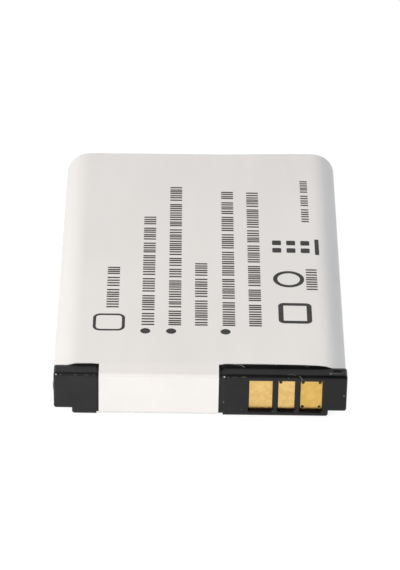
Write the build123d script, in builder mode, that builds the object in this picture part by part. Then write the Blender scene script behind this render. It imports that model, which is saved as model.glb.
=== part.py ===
from build123d import *
import os

os.makedirs("parts", exist_ok=True)

# Cordless phone battery: a flat lithium-ion cell with a moulded contact cap and a wrapped film label.
# Sizes are in millimetres. X runs across the pack, Y from the contact end to the back, Z is up.
# The origin lies under the middle of the pack, on the surface that it rests on.

# Cell: a drawn aluminium can with rounded long sides and a crowned upper face, closed by a welded lid
cell_width = 34.1
cell_thickness = 6.0
cell_length = 48.4
face_crown = 0.06
side_flat = 0.25
can_wall = 0.3
can_end_round = 0.5
weld_groove_width = 0.12
weld_groove_depth = 0.06

# Film label and the glue under it
film_thickness = 0.1
glue_thickness = 0.02
back_round = 0.25
seam_start_angle = 200
seam_angle = 50
flap_edge_height = 1.6
flap_side_cut = 1.5

# Moulded front cap
cap_overhang = 0.05
cap_step = 0.23
cap_depth = 3.3
shoulder_depth = 1.9
cap_corner = 0.3
cap_edge_round = 0.25
cap_front_wall = 0.5
cap_wall = 0.45
cap_end_wall = 1.6
pocket_corner = 0.8
notch_width = 2.13
notch_height = 0.75
notch_wall = 0.42
notch_corner = 0.3
dimple_length = 1.1
dimple_width = 0.5
dimple_depth = 0.15
dimple_end_gap = 0.6
dimple_distance = 1.15
stop_rib_thickness = 0.5
stiffening_rib_thickness = 0.4
snap_width = 1.6
snap_reach = 0.15
snap_length = 0.5
snap_end_gap = 4.0

# Label tab folded over the cap, and the channel that it lies in
channel_inset = 5.0
channel_width = 14.75
channel_round = 0.35
tab_left_gap = 0.26
tab_right_gap = 0.52
tab_flat_length = 0.1
tab_under_length = 1.4

# Gold contacts, seen through windows in the cap
contact_widths = (2.7, 1.9, 2.5)
window_bar = 0.46
window_end_gap = 0.22
window_side_gap = 0.12
window_edge_gap = 0.06
contact_edge_margin = 0.23
contact_recess = 0.45
contact_corner = 0.1
via_diameter = 0.4
via_side_inset = 0.25
via_edge_inset = 0.36

# Circuit board
board_left_inset = 2.6
board_thickness = 0.6
board_gap = 0.05
board_end_gap = 0.1

# Lid furniture: terminal, clad plate and insulator
terminal_x = 0.0
shank_radius = 0.55
gasket_length = 3.4
gasket_width = 2.4
gasket_flange = 0.25
gasket_collar_wall = 0.35
gasket_collar_depth = 0.7
rivet_length = 2.9
rivet_width = 1.9
rivet_plate = 0.25
rivet_foot = 0.15
plate_corner = 0.4
fill_plug_radius = 0.75
vent_length = 5.0
vent_width = 1.8
lid_recess = 0.06
clad_plate_inset = 3.1
clad_plate_width = 3.4
clad_plate_height = 2.8
clad_plate_thickness = 0.3
insulator_thickness = 0.15
insulator_gap = 0.12

# Nickel leads and the thermal cutoff
strip_thickness = 0.12
strip_height = 2.2
weld_pad_width = 3.0
weld_pad_height = 2.6
weld_pad_thickness = 0.15
positive_leg = 3.0
negative_leg = 2.7
cutoff_length = 4.4
cutoff_height = 2.8
cutoff_thickness = 0.95
cutoff_edge = 0.12
cutoff_bend_gap = 1.0
lead_clearance = 0.2
tape_thickness = 0.05
tape_margin = 0.4

# Chips on the back of the board
chip_standoff = 0.08
chip_clearance = 0.6
lead_thickness = 0.12
lead_foot = 0.4
chip_draft = 6
protection_chip_body = (1.6, 2.9)
protection_chip_span = 2.8
protection_chip_pitch = 0.95
transistor_body = (4.4, 3.0)
transistor_span = 6.4
transistor_pitch = 0.65
pin_width = 0.3
small_chip_length = 1.0
small_chip_width = 0.5
resistor_thickness = 0.35
capacitor_thickness = 0.5
end_cap_length = 0.25
end_cap_step = 0.03

# Foam spring behind the board, and the pad under the back of the label
foam_inset = 0.2
foam_width = 1.2
foam_height = 3.4
rear_pad_thickness = 0.4
rear_pad_inset = 0.2

# The pack, worked out from the sizes above
core_length = cap_depth + cell_length + rear_pad_thickness
back_skin = glue_thickness + 2 * film_thickness
pack_length = core_length + back_skin
pack_thickness = cell_thickness + 2 * (glue_thickness + film_thickness)
front = -pack_length / 2
middle = pack_thickness / 2
cell_side_radius = (cell_thickness - face_crown - side_flat) / 2

# The cap, its pocket and its label channel
cap_width = cell_width + 2 * cap_overhang
cap_height = cell_thickness - 2 * cap_step
pocket_width = cap_width - 2 * cap_end_wall
pocket_height = cap_height - 2 * cap_wall
step_width = notch_width + notch_wall - cap_end_wall
step_height = notch_height + notch_wall - cap_wall
dimple_x = cap_width / 2 - dimple_end_gap - dimple_length / 2
channel_left = channel_inset - cap_width / 2
channel_depth = film_thickness + glue_thickness
tab_width = channel_width - tab_left_gap - tab_right_gap
tab_x = channel_left + tab_left_gap + tab_width / 2

# The board and its contacts
board_back = cap_front_wall + board_thickness
board_left = board_left_inset - pocket_width / 2
contact_height = pocket_height - 2 * board_gap - 2 * contact_edge_margin
last_window_edge = cap_width / 2 - notch_width - notch_wall - window_end_gap

# Distances behind the front face of what lies on the lid and on the back of the board
insulator_front = cap_depth - insulator_thickness
rivet_front = cap_depth - gasket_flange - rivet_plate
cutoff_front = insulator_front - cutoff_thickness
cutoff_lead_front = rivet_front - strip_thickness
weld_pad_face = board_back + weld_pad_thickness
chip_thickness = cutoff_lead_front - board_back - chip_standoff - chip_clearance

# Places across the pack of the foam, the leads, the cutoff and the plates
foam_x = board_left + foam_inset + foam_width / 2
negative_bend_reach = (rivet_front - weld_pad_face) / 2
negative_bend_x = foam_x + foam_width / 2 + lead_clearance + negative_bend_reach
negative_pad_x = negative_bend_x + negative_leg / 2
cutoff_left = negative_bend_x + cutoff_bend_gap
cutoff_right = cutoff_left + cutoff_length
cutoff_x = (cutoff_left + cutoff_right) / 2
clad_plate_x = pocket_width / 2 - clad_plate_inset
positive_bend_x = clad_plate_x + weld_pad_width / 2
positive_end_x = positive_bend_x - positive_leg
fill_plug_x = (terminal_x + clad_plate_x) / 2

# The chips stand in a row between the two weld pads, with even gaps
chip_row = (
    small_chip_width,
    small_chip_width,
    protection_chip_span,
    small_chip_width,
    transistor_span,
    small_chip_width,
)
chip_row_left = negative_pad_x + weld_pad_width / 2
chip_row_right = clad_plate_x - weld_pad_width / 2
chip_gap = (chip_row_right - chip_row_left - sum(chip_row)) / (len(chip_row) + 1)


def chip_x(place):
    """Centre of a place in the row of chips."""
    return chip_row_left + chip_gap * (place + 1) + sum(chip_row[:place]) + chip_row[place] / 2


def section(distance):
    """Cross-section plane behind the front face: local x is X, local y is height above mid thickness.
    A negative extrusion grows towards the back."""
    return Plane(origin=(0, front + distance, middle), x_dir=(1, 0, 0), z_dir=(0, -1, 0))


def plan(height):
    """Level plane at a height above mid thickness: local x is X, local y is distance from the front."""
    return Plane(origin=(0, front, middle + height), x_dir=(1, 0, 0), z_dir=(0, 0, 1))


def side_view(x):
    """Upright plane along the pack: local x is distance from the front, local y is height above mid."""
    return Plane(origin=(x, front, middle), x_dir=(0, 1, 0), z_dir=(1, 0, 0))


def contact_x(index):
    """Centre of a contact, counted from the left; the row of windows ends beside the right key notch."""
    windows_after = sum(width + 2 * window_side_gap + window_bar for width in contact_widths[index + 1 :])
    return last_window_edge - windows_after - window_side_gap - contact_widths[index] / 2


def via_places(index):
    """Plated holes in a contact: none in the left one, one in the middle one, four in the right one."""
    across = contact_widths[index] / 2 - via_side_inset
    up = contact_height / 2 - via_edge_inset
    corners = [(-across, up), (across, up), (-across, -up), (across, -up)]
    return [(contact_x(index) + x, z) for x, z in corners[: (0, 1, 4)[index]]]


def pocket_outline(gap):
    """Outline of the cap's pocket, drawn in by a gap all round; it steps in above the two key notches."""
    with BuildSketch() as outline:
        RectangleRounded(pocket_width - 2 * gap, pocket_height - 2 * gap, pocket_corner)
        with GridLocations(pocket_width - 2 * gap, 0, 2, 1):
            with Locations((0, -pocket_height / 2 + gap)):
                Rectangle(2 * step_width, 2 * step_height, mode=Mode.SUBTRACT)
    return outline.sketch


def body_outline(skin):
    """Section of the cell grown by a skin: flat underside, round long sides, slightly crowned upper face."""
    half = cell_width / 2 - cell_side_radius
    low = cell_side_radius - cell_thickness / 2
    high = low + side_flat
    radius = cell_side_radius + skin
    with BuildSketch() as outline:
        with BuildLine():
            Line((-half, low - radius), (half, low - radius))
            CenterArc((half, low), radius, -90, 90)
            Line((half + radius, low), (half + radius, high))
            CenterArc((half, high), radius, 0, 90)
            ThreePointArc((half, high + radius), (0, cell_thickness / 2 + skin), (-half, high + radius))
            CenterArc((-half, high), radius, 90, 90)
            Line((-half - radius, high), (-half - radius, low))
            CenterArc((-half, low), radius, 180, 90)
        make_face()
    return outline.sketch


def wrapped_body(skin):
    """What the label is wound round, grown by a skin: cap shoulder, can and rear pad as one block."""
    with BuildPart() as body:
        with BuildSketch(section(shoulder_depth)):
            add(body_outline(skin))
        extrude(amount=-(core_length - shoulder_depth + skin))
        fillet(body.faces().sort_by(Axis.Y)[-1].edges(), radius=back_round + skin)
    return body.part


# Cell can: one sealed solid, with its welded lid, sunk fill plug, thinned vent and the hole for the terminal
with BuildPart() as cell_can:
    with BuildSketch(section(cap_depth)):
        add(body_outline(0))
    extrude(amount=-cell_length)
    fillet(cell_can.faces().sort_by(Axis.Y)[-1].edges(), radius=can_end_round)
    with BuildSketch(section(cap_depth)):
        add(body_outline(-can_wall))
        add(body_outline(-can_wall - weld_groove_width), mode=Mode.SUBTRACT)
    extrude(amount=-weld_groove_depth, mode=Mode.SUBTRACT)
    with BuildSketch(section(cap_depth)):
        with Locations((fill_plug_x, 0)):
            Circle(fill_plug_radius)
        with Locations((cutoff_x, 0)):
            SlotOverall(vent_length, vent_width)
    extrude(amount=-lid_recess, mode=Mode.SUBTRACT)
    with BuildSketch(section(cap_depth)):
        with Locations((terminal_x, 0)):
            Circle(shank_radius + gasket_collar_wall)
    extrude(amount=-gasket_collar_depth, mode=Mode.SUBTRACT)
cell_can.part.label = "cell_can"
export_step(cell_can.part, "parts/cell_can.step")

# Terminal gasket: a flanged plastic bush that keeps the rivet off the lid
with BuildPart() as terminal_gasket:
    with BuildSketch(section(cap_depth - gasket_flange)):
        with Locations((terminal_x, 0)):
            RectangleRounded(gasket_length, gasket_width, plate_corner)
    extrude(amount=-gasket_flange)
    with BuildSketch(section(cap_depth)):
        with Locations((terminal_x, 0)):
            Circle(shank_radius + gasket_collar_wall)
    extrude(amount=-gasket_collar_depth)
    with BuildSketch(section(cap_depth - gasket_flange)):
        with Locations((terminal_x, 0)):
            Circle(shank_radius)
    extrude(amount=-(gasket_flange + gasket_collar_depth), mode=Mode.SUBTRACT)
terminal_gasket.part.label = "terminal_gasket"
export_step(terminal_gasket.part, "parts/terminal_gasket.step")

# Terminal rivet: the flat negative terminal with its shank through the gasket
with BuildPart() as terminal_rivet:
    with BuildSketch(section(rivet_front)):
        with Locations((terminal_x, 0)):
            RectangleRounded(rivet_length, rivet_width, plate_corner)
    extrude(amount=-rivet_plate)
    with BuildSketch(section(rivet_front + rivet_plate)):
        with Locations((terminal_x, 0)):
            Circle(shank_radius)
    extrude(amount=-(gasket_flange + gasket_collar_depth - rivet_foot))
    chamfer(terminal_rivet.faces().sort_by(Axis.Y)[-1].edges(), length=rivet_foot)
terminal_rivet.part.label = "terminal_rivet"
export_step(terminal_rivet.part, "parts/terminal_rivet.step")

# Clad plate: the positive weld plate on the lid
with BuildPart() as clad_plate:
    with BuildSketch(section(cap_depth - clad_plate_thickness)):
        with Locations((clad_plate_x, 0)):
            RectangleRounded(clad_plate_width, clad_plate_height, plate_corner)
    extrude(amount=-clad_plate_thickness)
clad_plate.part.label = "clad_plate"
export_step(clad_plate.part, "parts/clad_plate.step")

# Lid insulator: a fibre sheet inside the cap, cut out round the terminal and the clad plate
with BuildPart() as lid_insulator:
    with BuildSketch(section(insulator_front)):
        add(pocket_outline(insulator_gap))
        with Locations((terminal_x, 0)):
            Rectangle(gasket_length + 2 * insulator_gap, gasket_width + 2 * insulator_gap, mode=Mode.SUBTRACT)
        with Locations((clad_plate_x, 0)):
            Rectangle(
                clad_plate_width + 2 * insulator_gap,
                clad_plate_height + 2 * insulator_gap,
                mode=Mode.SUBTRACT,
            )
    extrude(amount=-insulator_thickness)
lid_insulator.part.label = "lid_insulator"
export_step(lid_insulator.part, "parts/lid_insulator.step")

# Circuit board: fits the cap's pocket from behind and carries the contacts over the windows
with BuildPart() as circuit_board:
    with BuildSketch(section(cap_front_wall)):
        add(pocket_outline(board_gap))
        with Locations((board_left - pocket_width / 2, 0)):
            Rectangle(pocket_width, pocket_height, mode=Mode.SUBTRACT)
        with Locations(via_places(1) + via_places(2)):
            Circle(via_diameter / 2, mode=Mode.SUBTRACT)
    extrude(amount=-board_thickness)
circuit_board.part.label = "circuit_board"
export_step(circuit_board.part, "parts/circuit_board.step")

# Gold contacts: plated pads on the front of the board, each inside its window
for index, name in enumerate(("left_contact", "middle_contact", "right_contact")):
    with BuildPart() as contact:
        with BuildSketch(section(contact_recess)):
            with Locations((contact_x(index), 0)):
                RectangleRounded(contact_widths[index], contact_height, contact_corner)
            if via_places(index):
                with Locations(via_places(index)):
                    Circle(via_diameter / 2, mode=Mode.SUBTRACT)
        extrude(amount=-(cap_front_wall - contact_recess))
    contact.part.label = name
    export_step(contact.part, f"parts/{name}.step")

# Weld pads: sheared nickel plates soldered to the back of the board, where the leads are spot welded
for name, x in (("positive_weld_pad", clad_plate_x), ("negative_weld_pad", negative_pad_x)):
    with BuildPart() as weld_pad:
        with BuildSketch(section(board_back)):
            with Locations((x, 0)):
                Rectangle(weld_pad_width, weld_pad_height)
        extrude(amount=-weld_pad_thickness)
    weld_pad.part.label = name
    export_step(weld_pad.part, f"parts/{name}.step")


def folded_strip(start_x, bend_x, end_x, back_face):
    """A nickel strip folded back on itself, from a plate at the back to a weld pad on the board."""
    centre = (back_face + weld_pad_face) / 2
    outer_reach = (back_face - weld_pad_face) / 2
    inner_reach = outer_reach - strip_thickness
    turn = 1 if bend_x > start_x else -1
    with BuildPart() as strip:
        with BuildSketch(plan(-strip_height / 2)):
            with BuildLine():
                for reach in (outer_reach, inner_reach):
                    back_leg = (bend_x, centre + reach)
                    front_leg = (bend_x, centre - reach)
                    Line((start_x, centre + reach), back_leg)
                    ThreePointArc(back_leg, (bend_x + turn * reach, centre), front_leg)
                    Line(front_leg, (end_x, centre - reach))
                Line((start_x, centre + outer_reach), (start_x, centre + inner_reach))
                Line((end_x, centre - outer_reach), (end_x, centre - inner_reach))
            make_face()
        extrude(amount=strip_height)
    return strip


# Positive lead: from the clad plate on the lid round to its weld pad
clad_plate_front = cap_depth - clad_plate_thickness
positive_lead = folded_strip(positive_end_x, positive_bend_x, positive_end_x, clad_plate_front)
positive_lead.part.label = "positive_lead"
export_step(positive_lead.part, "parts/positive_lead.step")

# Negative lead: from the thermal cutoff round to its weld pad
negative_lead = folded_strip(cutoff_left, negative_bend_x, negative_bend_x + negative_leg, rivet_front)
negative_lead.part.label = "negative_lead"
export_step(negative_lead.part, "parts/negative_lead.step")

# Cutoff lead: a straight strip from the thermal cutoff to the terminal rivet
with BuildPart() as cutoff_lead:
    lead_end = terminal_x + rivet_length / 2
    with BuildSketch(section(cutoff_lead_front)):
        with Locations(((cutoff_right + lead_end) / 2, 0)):
            Rectangle(lead_end - cutoff_right, rivet_width)
    extrude(amount=-strip_thickness)
cutoff_lead.part.label = "cutoff_lead"
export_step(cutoff_lead.part, "parts/cutoff_lead.step")

# Thermal cutoff: a flat moulded breaker lying on the lid insulator
with BuildPart() as thermal_cutoff:
    with BuildSketch(section(cutoff_front)):
        with Locations((cutoff_x, 0)):
            Rectangle(cutoff_length, cutoff_height)
    extrude(amount=-cutoff_thickness)
    fillet(thermal_cutoff.faces().sort_by(Axis.Y)[0].edges(), radius=cutoff_edge)
thermal_cutoff.part.label = "thermal_cutoff"
export_step(thermal_cutoff.part, "parts/thermal_cutoff.step")

# Cutoff tape: thin film over the breaker, stuck down to the insulator above and below it
with BuildPart() as cutoff_tape:
    tape_reach = cutoff_height / 2 + tape_thickness
    with BuildSketch(side_view(cutoff_left + tape_margin)):
        with BuildLine():
            FilletPolyline(
                (insulator_front, -tape_reach),
                (cutoff_front - tape_thickness, -tape_reach),
                (cutoff_front - tape_thickness, tape_reach),
                (insulator_front, tape_reach),
                radius=cutoff_edge + tape_thickness,
            )
            Line((insulator_front, tape_reach), (insulator_front, cutoff_height / 2))
            FilletPolyline(
                (insulator_front, cutoff_height / 2),
                (cutoff_front, cutoff_height / 2),
                (cutoff_front, -cutoff_height / 2),
                (insulator_front, -cutoff_height / 2),
                radius=cutoff_edge,
            )
            Line((insulator_front, -cutoff_height / 2), (insulator_front, -tape_reach))
        make_face()
    extrude(amount=cutoff_length - 2 * tape_margin)
cutoff_tape.part.label = "cutoff_tape"
export_step(cutoff_tape.part, "parts/cutoff_tape.step")


def gull_wing_chip(x, body, span, pins, pitch):
    """A moulded chip on bent leads, on the back of the board; body is its width and height."""
    width, height = body
    exit_height = chip_standoff + chip_thickness / 2
    knee = width / 2 + lead_thickness
    with BuildPart() as chip:
        with BuildSketch(section(board_back + exit_height)):
            with Locations((x, 0)):
                Rectangle(width, height)
        extrude(amount=-chip_thickness / 2, taper=chip_draft)
        with BuildSketch(section(board_back + exit_height)):
            with Locations((x, 0)):
                Rectangle(width, height)
        extrude(amount=chip_thickness / 2, taper=chip_draft)
        for pin in range(pins):
            pin_height = (pin - (pins - 1) / 2) * pitch
            with BuildSketch(plan(pin_height - pin_width / 2)):
                with Locations((x, board_back)):
                    Polygon(
                        (span / 2, 0),
                        (span / 2, lead_thickness),
                        (span / 2 - lead_foot + lead_thickness, lead_thickness),
                        (knee + lead_thickness, exit_height + lead_thickness / 2),
                        (width / 2 - lead_thickness, exit_height + lead_thickness / 2),
                        (width / 2 - lead_thickness, exit_height - lead_thickness / 2),
                        (knee, exit_height - lead_thickness / 2),
                        (span / 2 - lead_foot, 0),
                        align=None,
                    )
                mirror(about=Plane(origin=(x, 0, 0), z_dir=(1, 0, 0)))
            extrude(amount=pin_width)
    return chip


# Protection chip: six leads, watches the cell's voltage
protection_chip = gull_wing_chip(
    chip_x(2), protection_chip_body, protection_chip_span, 3, protection_chip_pitch
)
protection_chip.part.label = "protection_chip"
export_step(protection_chip.part, "parts/protection_chip.step")

# Switch transistors: a pair in one eight-lead body, opens the circuit on a fault
switch_transistors = gull_wing_chip(chip_x(4), transistor_body, transistor_span, 4, transistor_pitch)
switch_transistors.part.label = "switch_transistors"
export_step(switch_transistors.part, "parts/switch_transistors.step")

# Small chips: resistors, capacitors and the thermistor, upright on the back of the board
small_chips = {
    "thermistor": (chip_x(0), 0.9, capacitor_thickness),
    "filter_resistor": (chip_x(1), 1.2, resistor_thickness),
    "filter_capacitor": (chip_x(1), -1.2, capacitor_thickness),
    "sense_resistor": (chip_x(3), 1.3, resistor_thickness),
    "id_resistor": (chip_x(3), -1.3, resistor_thickness),
    "output_capacitor": (chip_x(5), 1.0, capacitor_thickness),
}
for name, (x, height, thickness) in small_chips.items():
    with BuildPart() as small_chip:
        with BuildSketch(section(board_back + end_cap_step)):
            with Locations((x, height)):
                Rectangle(small_chip_width - 2 * end_cap_step, small_chip_length - 2 * end_cap_step)
        extrude(amount=-(thickness - 2 * end_cap_step))
        with BuildSketch(section(board_back)):
            with Locations((x, height)):
                with GridLocations(0, small_chip_length - end_cap_length, 1, 2):
                    Rectangle(small_chip_width, end_cap_length)
        extrude(amount=-thickness)
    small_chip.part.label = name
    export_step(small_chip.part, f"parts/{name}.step")

# Foam spring: presses the board forward against the cap's front wall
with BuildPart() as board_foam:
    with BuildSketch(section(board_back)):
        with Locations((foam_x, 0)):
            Rectangle(foam_width, foam_height)
    extrude(amount=-(insulator_front - board_back))
board_foam.part.label = "board_foam"
export_step(board_foam.part, "parts/board_foam.step")

# Front cap: the block with windows, key notches and label channel, and the shoulder that the label laps
with BuildPart() as front_cap:
    with BuildSketch(section(0)):
        RectangleRounded(cap_width, cap_height, cap_corner)
        with GridLocations(cap_width, 0, 2, 1):
            with Locations((0, -cap_height / 2)):
                Rectangle(2 * notch_width, 2 * notch_height, mode=Mode.SUBTRACT)
    extrude(amount=-shoulder_depth)
    low_edges = front_cap.edges().filter_by(Axis.Y).group_by(Axis.Z)[0]
    notch_edges = front_cap.edges().filter_by(Axis.Y).group_by(Axis.Z)[1]
    fillet(low_edges + notch_edges.group_by(SortBy.DISTANCE)[-1], radius=notch_corner)
    fillet(front_cap.faces().sort_by(Axis.Y)[0].outer_wire().edges(), radius=cap_edge_round)
    with BuildSketch(section(shoulder_depth)):
        add(body_outline(0))
    extrude(amount=-(cap_depth - shoulder_depth))
    with BuildSketch(section(cap_front_wall)):
        add(pocket_outline(0))
    extrude(amount=-(cap_depth - cap_front_wall), mode=Mode.SUBTRACT)
    with BuildSketch(section(0)):
        for index in range(3):
            with Locations((contact_x(index), 0)):
                RectangleRounded(
                    contact_widths[index] + 2 * window_side_gap,
                    contact_height + 2 * window_edge_gap,
                    contact_corner,
                )
    extrude(amount=-cap_front_wall, mode=Mode.SUBTRACT)
    channel_reach = cap_height / 2 - channel_depth
    with BuildSketch(side_view(channel_left)):
        with Locations((0, 0)):
            Rectangle(shoulder_depth, cap_height, align=(Align.MIN, Align.CENTER))
        with BuildLine(mode=Mode.PRIVATE) as channel_floor:
            FilletPolyline(
                (shoulder_depth, -channel_reach),
                (channel_depth, -channel_reach),
                (channel_depth, channel_reach),
                (shoulder_depth, channel_reach),
                radius=channel_round,
            )
            Line((shoulder_depth, channel_reach), (shoulder_depth, -channel_reach))
        make_face(channel_floor.edges(), mode=Mode.SUBTRACT)
    extrude(amount=channel_width, mode=Mode.SUBTRACT)
    with BuildSketch(plan(cap_height / 2)):
        with Locations((dimple_x, dimple_distance)):
            SlotOverall(dimple_length, dimple_width)
    extrude(amount=-dimple_depth, mode=Mode.SUBTRACT)
    stop_x = board_left - board_end_gap - stop_rib_thickness / 2
    rib_x = (stop_x - pocket_width / 2) / 2
    with BuildSketch(section(cap_front_wall)):
        with Locations((stop_x, 0)):
            Rectangle(stop_rib_thickness, pocket_height)
        with Locations((rib_x, 0)):
            Rectangle(stiffening_rib_thickness, pocket_height)
    extrude(amount=-board_thickness)
    board_middle = (board_left + pocket_width / 2) / 2
    snap_spread = (pocket_width / 2 - board_left) / 2 - snap_end_gap
    for snap_x in (board_middle - snap_spread, board_middle, board_middle + snap_spread):
        with BuildSketch(side_view(snap_x - snap_width / 2)):
            Polygon(
                (board_back + glue_thickness, pocket_height / 2),
                (board_back + glue_thickness, pocket_height / 2 - snap_reach),
                (board_back + glue_thickness + snap_length, pocket_height / 2),
                align=None,
            )
            mirror(about=Plane.XZ)
        extrude(amount=snap_width)
front_cap.part.label = "front_cap"
export_step(front_cap.part, "parts/front_cap.step")

# Rear pad: a plastic sheet on the can's closed end, under the label's folded back
with BuildPart() as rear_pad:
    with BuildSketch(section(cap_depth + cell_length)):
        add(body_outline(-rear_pad_inset))
    extrude(amount=-rear_pad_thickness)
rear_pad.part.label = "rear_pad"
export_step(rear_pad.part, "parts/rear_pad.step")

# Label wrap: film wound round the body, folded down over the back, with a tab folded over the cap
with BuildPart() as label_wrap:
    add(wrapped_body(glue_thickness + film_thickness))
    with BuildSketch(section(core_length + glue_thickness + film_thickness)):
        flap_top = cell_thickness / 2 - face_crown - back_round
        flap_bottom = flap_edge_height - pack_thickness / 2
        flap_half = cell_width / 2 - cell_side_radius
        Polygon(
            (-flap_half, flap_top),
            (-flap_half + flap_side_cut, flap_bottom),
            (flap_half - flap_side_cut, flap_bottom),
            (flap_half, flap_top),
            align=None,
        )
    extrude(amount=-film_thickness)
    add(wrapped_body(glue_thickness), mode=Mode.SUBTRACT)
    seam_inner = cell_side_radius + glue_thickness + film_thickness
    seam_centre = (cell_side_radius - cell_width / 2, cell_side_radius - cell_thickness / 2)
    with BuildSketch(section(shoulder_depth)):
        with BuildLine():
            under = CenterArc(seam_centre, seam_inner, seam_start_angle, seam_angle)
            over = CenterArc(seam_centre, seam_inner + film_thickness, seam_start_angle, seam_angle)
            Line(under @ 0, over @ 0)
            Line(under @ 1, over @ 1)
        make_face()
    extrude(amount=-(core_length - back_round - shoulder_depth))
    tab_inside = channel_reach + glue_thickness
    tab_front = channel_depth - glue_thickness
    tab_flat_start = tab_front + channel_round + glue_thickness + tab_flat_length
    with BuildSketch(section(shoulder_depth)):
        add(body_outline(glue_thickness + film_thickness))
        add(body_outline(glue_thickness), mode=Mode.SUBTRACT)
        with Locations((tab_x, cell_thickness / 2)):
            Rectangle(tab_width, cell_thickness, mode=Mode.INTERSECT)
    with BuildSketch(section(tab_flat_start)):
        with Locations((tab_x, tab_inside + film_thickness / 2)):
            Rectangle(tab_width, film_thickness)
    loft()
    with BuildSketch(side_view(tab_x - tab_width / 2)):
        with BuildLine():
            tab_path = FilletPolyline(
                (tab_flat_start, tab_inside),
                (tab_front, tab_inside),
                (tab_front, -tab_inside),
                (tab_under_length, -tab_inside),
                radius=channel_round + glue_thickness,
            )
            offset(tab_path, amount=film_thickness, side=Side.RIGHT)
        make_face()
    extrude(amount=tab_width)
label_wrap.part.label = "label_wrap"
export_step(label_wrap.part, "parts/label_wrap.step")
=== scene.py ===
import bmesh
import bpy
import math
import random
from mathutils import Matrix, Vector
from mathutils.bvhtree import BVHTree


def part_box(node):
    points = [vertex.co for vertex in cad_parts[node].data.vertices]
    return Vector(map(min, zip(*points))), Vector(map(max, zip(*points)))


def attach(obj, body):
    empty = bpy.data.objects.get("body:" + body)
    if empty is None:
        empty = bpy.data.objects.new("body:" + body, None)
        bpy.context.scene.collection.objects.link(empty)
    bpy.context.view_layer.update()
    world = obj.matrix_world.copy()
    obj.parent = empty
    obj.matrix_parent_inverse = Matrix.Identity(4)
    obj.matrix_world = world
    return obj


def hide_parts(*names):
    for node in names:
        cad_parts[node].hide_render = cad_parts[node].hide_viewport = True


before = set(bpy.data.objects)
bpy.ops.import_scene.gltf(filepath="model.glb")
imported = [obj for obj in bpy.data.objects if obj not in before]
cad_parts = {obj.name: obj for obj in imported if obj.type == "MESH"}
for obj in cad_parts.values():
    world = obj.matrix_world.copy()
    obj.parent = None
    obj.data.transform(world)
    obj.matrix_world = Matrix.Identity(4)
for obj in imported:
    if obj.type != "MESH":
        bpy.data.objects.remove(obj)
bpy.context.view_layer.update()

# Camera: a long lens in front of the contact end and above it, at the photograph's angle. It was placed so
# that the pack's outline falls where the photograph has it.
MM = 0.001
FOCAL_PIXELS = 3326.96
FRAME_WIDTH, FRAME_HEIGHT = 400, 570
SENSOR_WIDTH = 36.0
CAMERA_PLACE = Vector((-3.526, -350.116, 216.549)) * MM
YAW, PITCH, ROLL = 0.0100628, 0.5493694, 0.0183252
lens = bpy.data.cameras.new("camera")
lens.sensor_fit = "HORIZONTAL"
lens.sensor_width = SENSOR_WIDTH
lens.lens = FOCAL_PIXELS * SENSOR_WIDTH / FRAME_WIDTH
lens.clip_start = 0.01
camera = bpy.data.objects.new("camera", lens)
bpy.context.scene.collection.objects.link(camera)
camera.matrix_world = (
    Matrix.Translation(CAMERA_PLACE)
    @ Matrix.Rotation(-YAW, 4, "Z")
    @ Matrix.Rotation(math.pi / 2 - PITCH, 4, "X")
    @ Matrix.Rotation(ROLL, 4, "Z")
)
bpy.context.scene.camera = camera
bpy.context.scene.view_settings.view_transform = "Standard"

# Cell can: the sealed cell, a deep-drawn aluminium can with a lid welded into its mouth. The drawing leaves
# fine lines along the can, and the bare metal is dull and slightly clouded.

# The mix node's colour sockets go by number, because its sockets for numbers and for colours share names
MIX_SHARE, MIX_FIRST, MIX_SECOND, MIX_RESULT = 0, 6, 7, 2


def add_node(tree, kind, inputs=None, **settings):
    """A shader node of a kind; each input is given as a value or as the socket that feeds it."""
    node = tree.nodes.new("ShaderNode" + kind)
    for setting, value in settings.items():
        setattr(node, setting, value)
    for place, value in (inputs or {}).items():
        if isinstance(value, bpy.types.NodeSocket):
            tree.links.new(value, node.inputs[place])
        else:
            node.inputs[place].default_value = value
    return node


def maths(tree, operation, first, second=0.0):
    """The result of one sum between two values or sockets."""
    return add_node(tree, "Math", {0: first, 1: second}, operation=operation).outputs[0]


def in_range(tree, value, low, high):
    """A value spread smoothly from 0 at the low end of a range to 1 at the high end."""
    places = {"Value": value, "From Min": low, "From Max": high}
    return add_node(tree, "MapRange", places, interpolation_type="SMOOTHSTEP").outputs["Result"]


def blend(tree, share, first, second):
    """A colour between two colours."""
    places = {MIX_SHARE: share, MIX_FIRST: first, MIX_SECOND: second}
    return add_node(tree, "Mix", places, data_type="RGBA").outputs[MIX_RESULT]


def start_effect(name, inputs, outputs):
    """A node group for an effect that several finishes use, with named inputs and outputs."""
    group = bpy.data.node_groups.new(name, "ShaderNodeTree")
    for label, kind, value in inputs:
        socket = group.interface.new_socket(label, in_out="INPUT", socket_type="NodeSocket" + kind)
        socket.default_value = value
    for label, kind in outputs:
        group.interface.new_socket(label, in_out="OUTPUT", socket_type="NodeSocket" + kind)
    return group, group.nodes.new("NodeGroupInput").outputs, group.nodes.new("NodeGroupOutput").inputs


def use_effect(tree, group, inputs):
    """Places an effect in a material with values of its own, and gives its outputs."""
    node = tree.nodes.new("ShaderNodeGroup")
    node.node_tree = group
    for label, value in inputs.items():
        node.inputs[label].default_value = value
    return node.outputs


def object_places(tree):
    """Places on the object in metres, the same in every view."""
    return add_node(tree, "TexCoord").outputs["Object"]


def noise(tree, scale, detail=2.0, stretch=None, turn=(0, 0, 0)):
    """A soft noise over the object, turned and drawn out where it has a stretch."""
    places = object_places(tree)
    if stretch is not None:
        places = add_node(tree, "Mapping", {"Vector": places, "Rotation": turn, "Scale": stretch}).outputs[0]
    return add_node(tree, "TexNoise", {"Vector": places, "Scale": scale, "Detail": detail}).outputs["Fac"]


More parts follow.
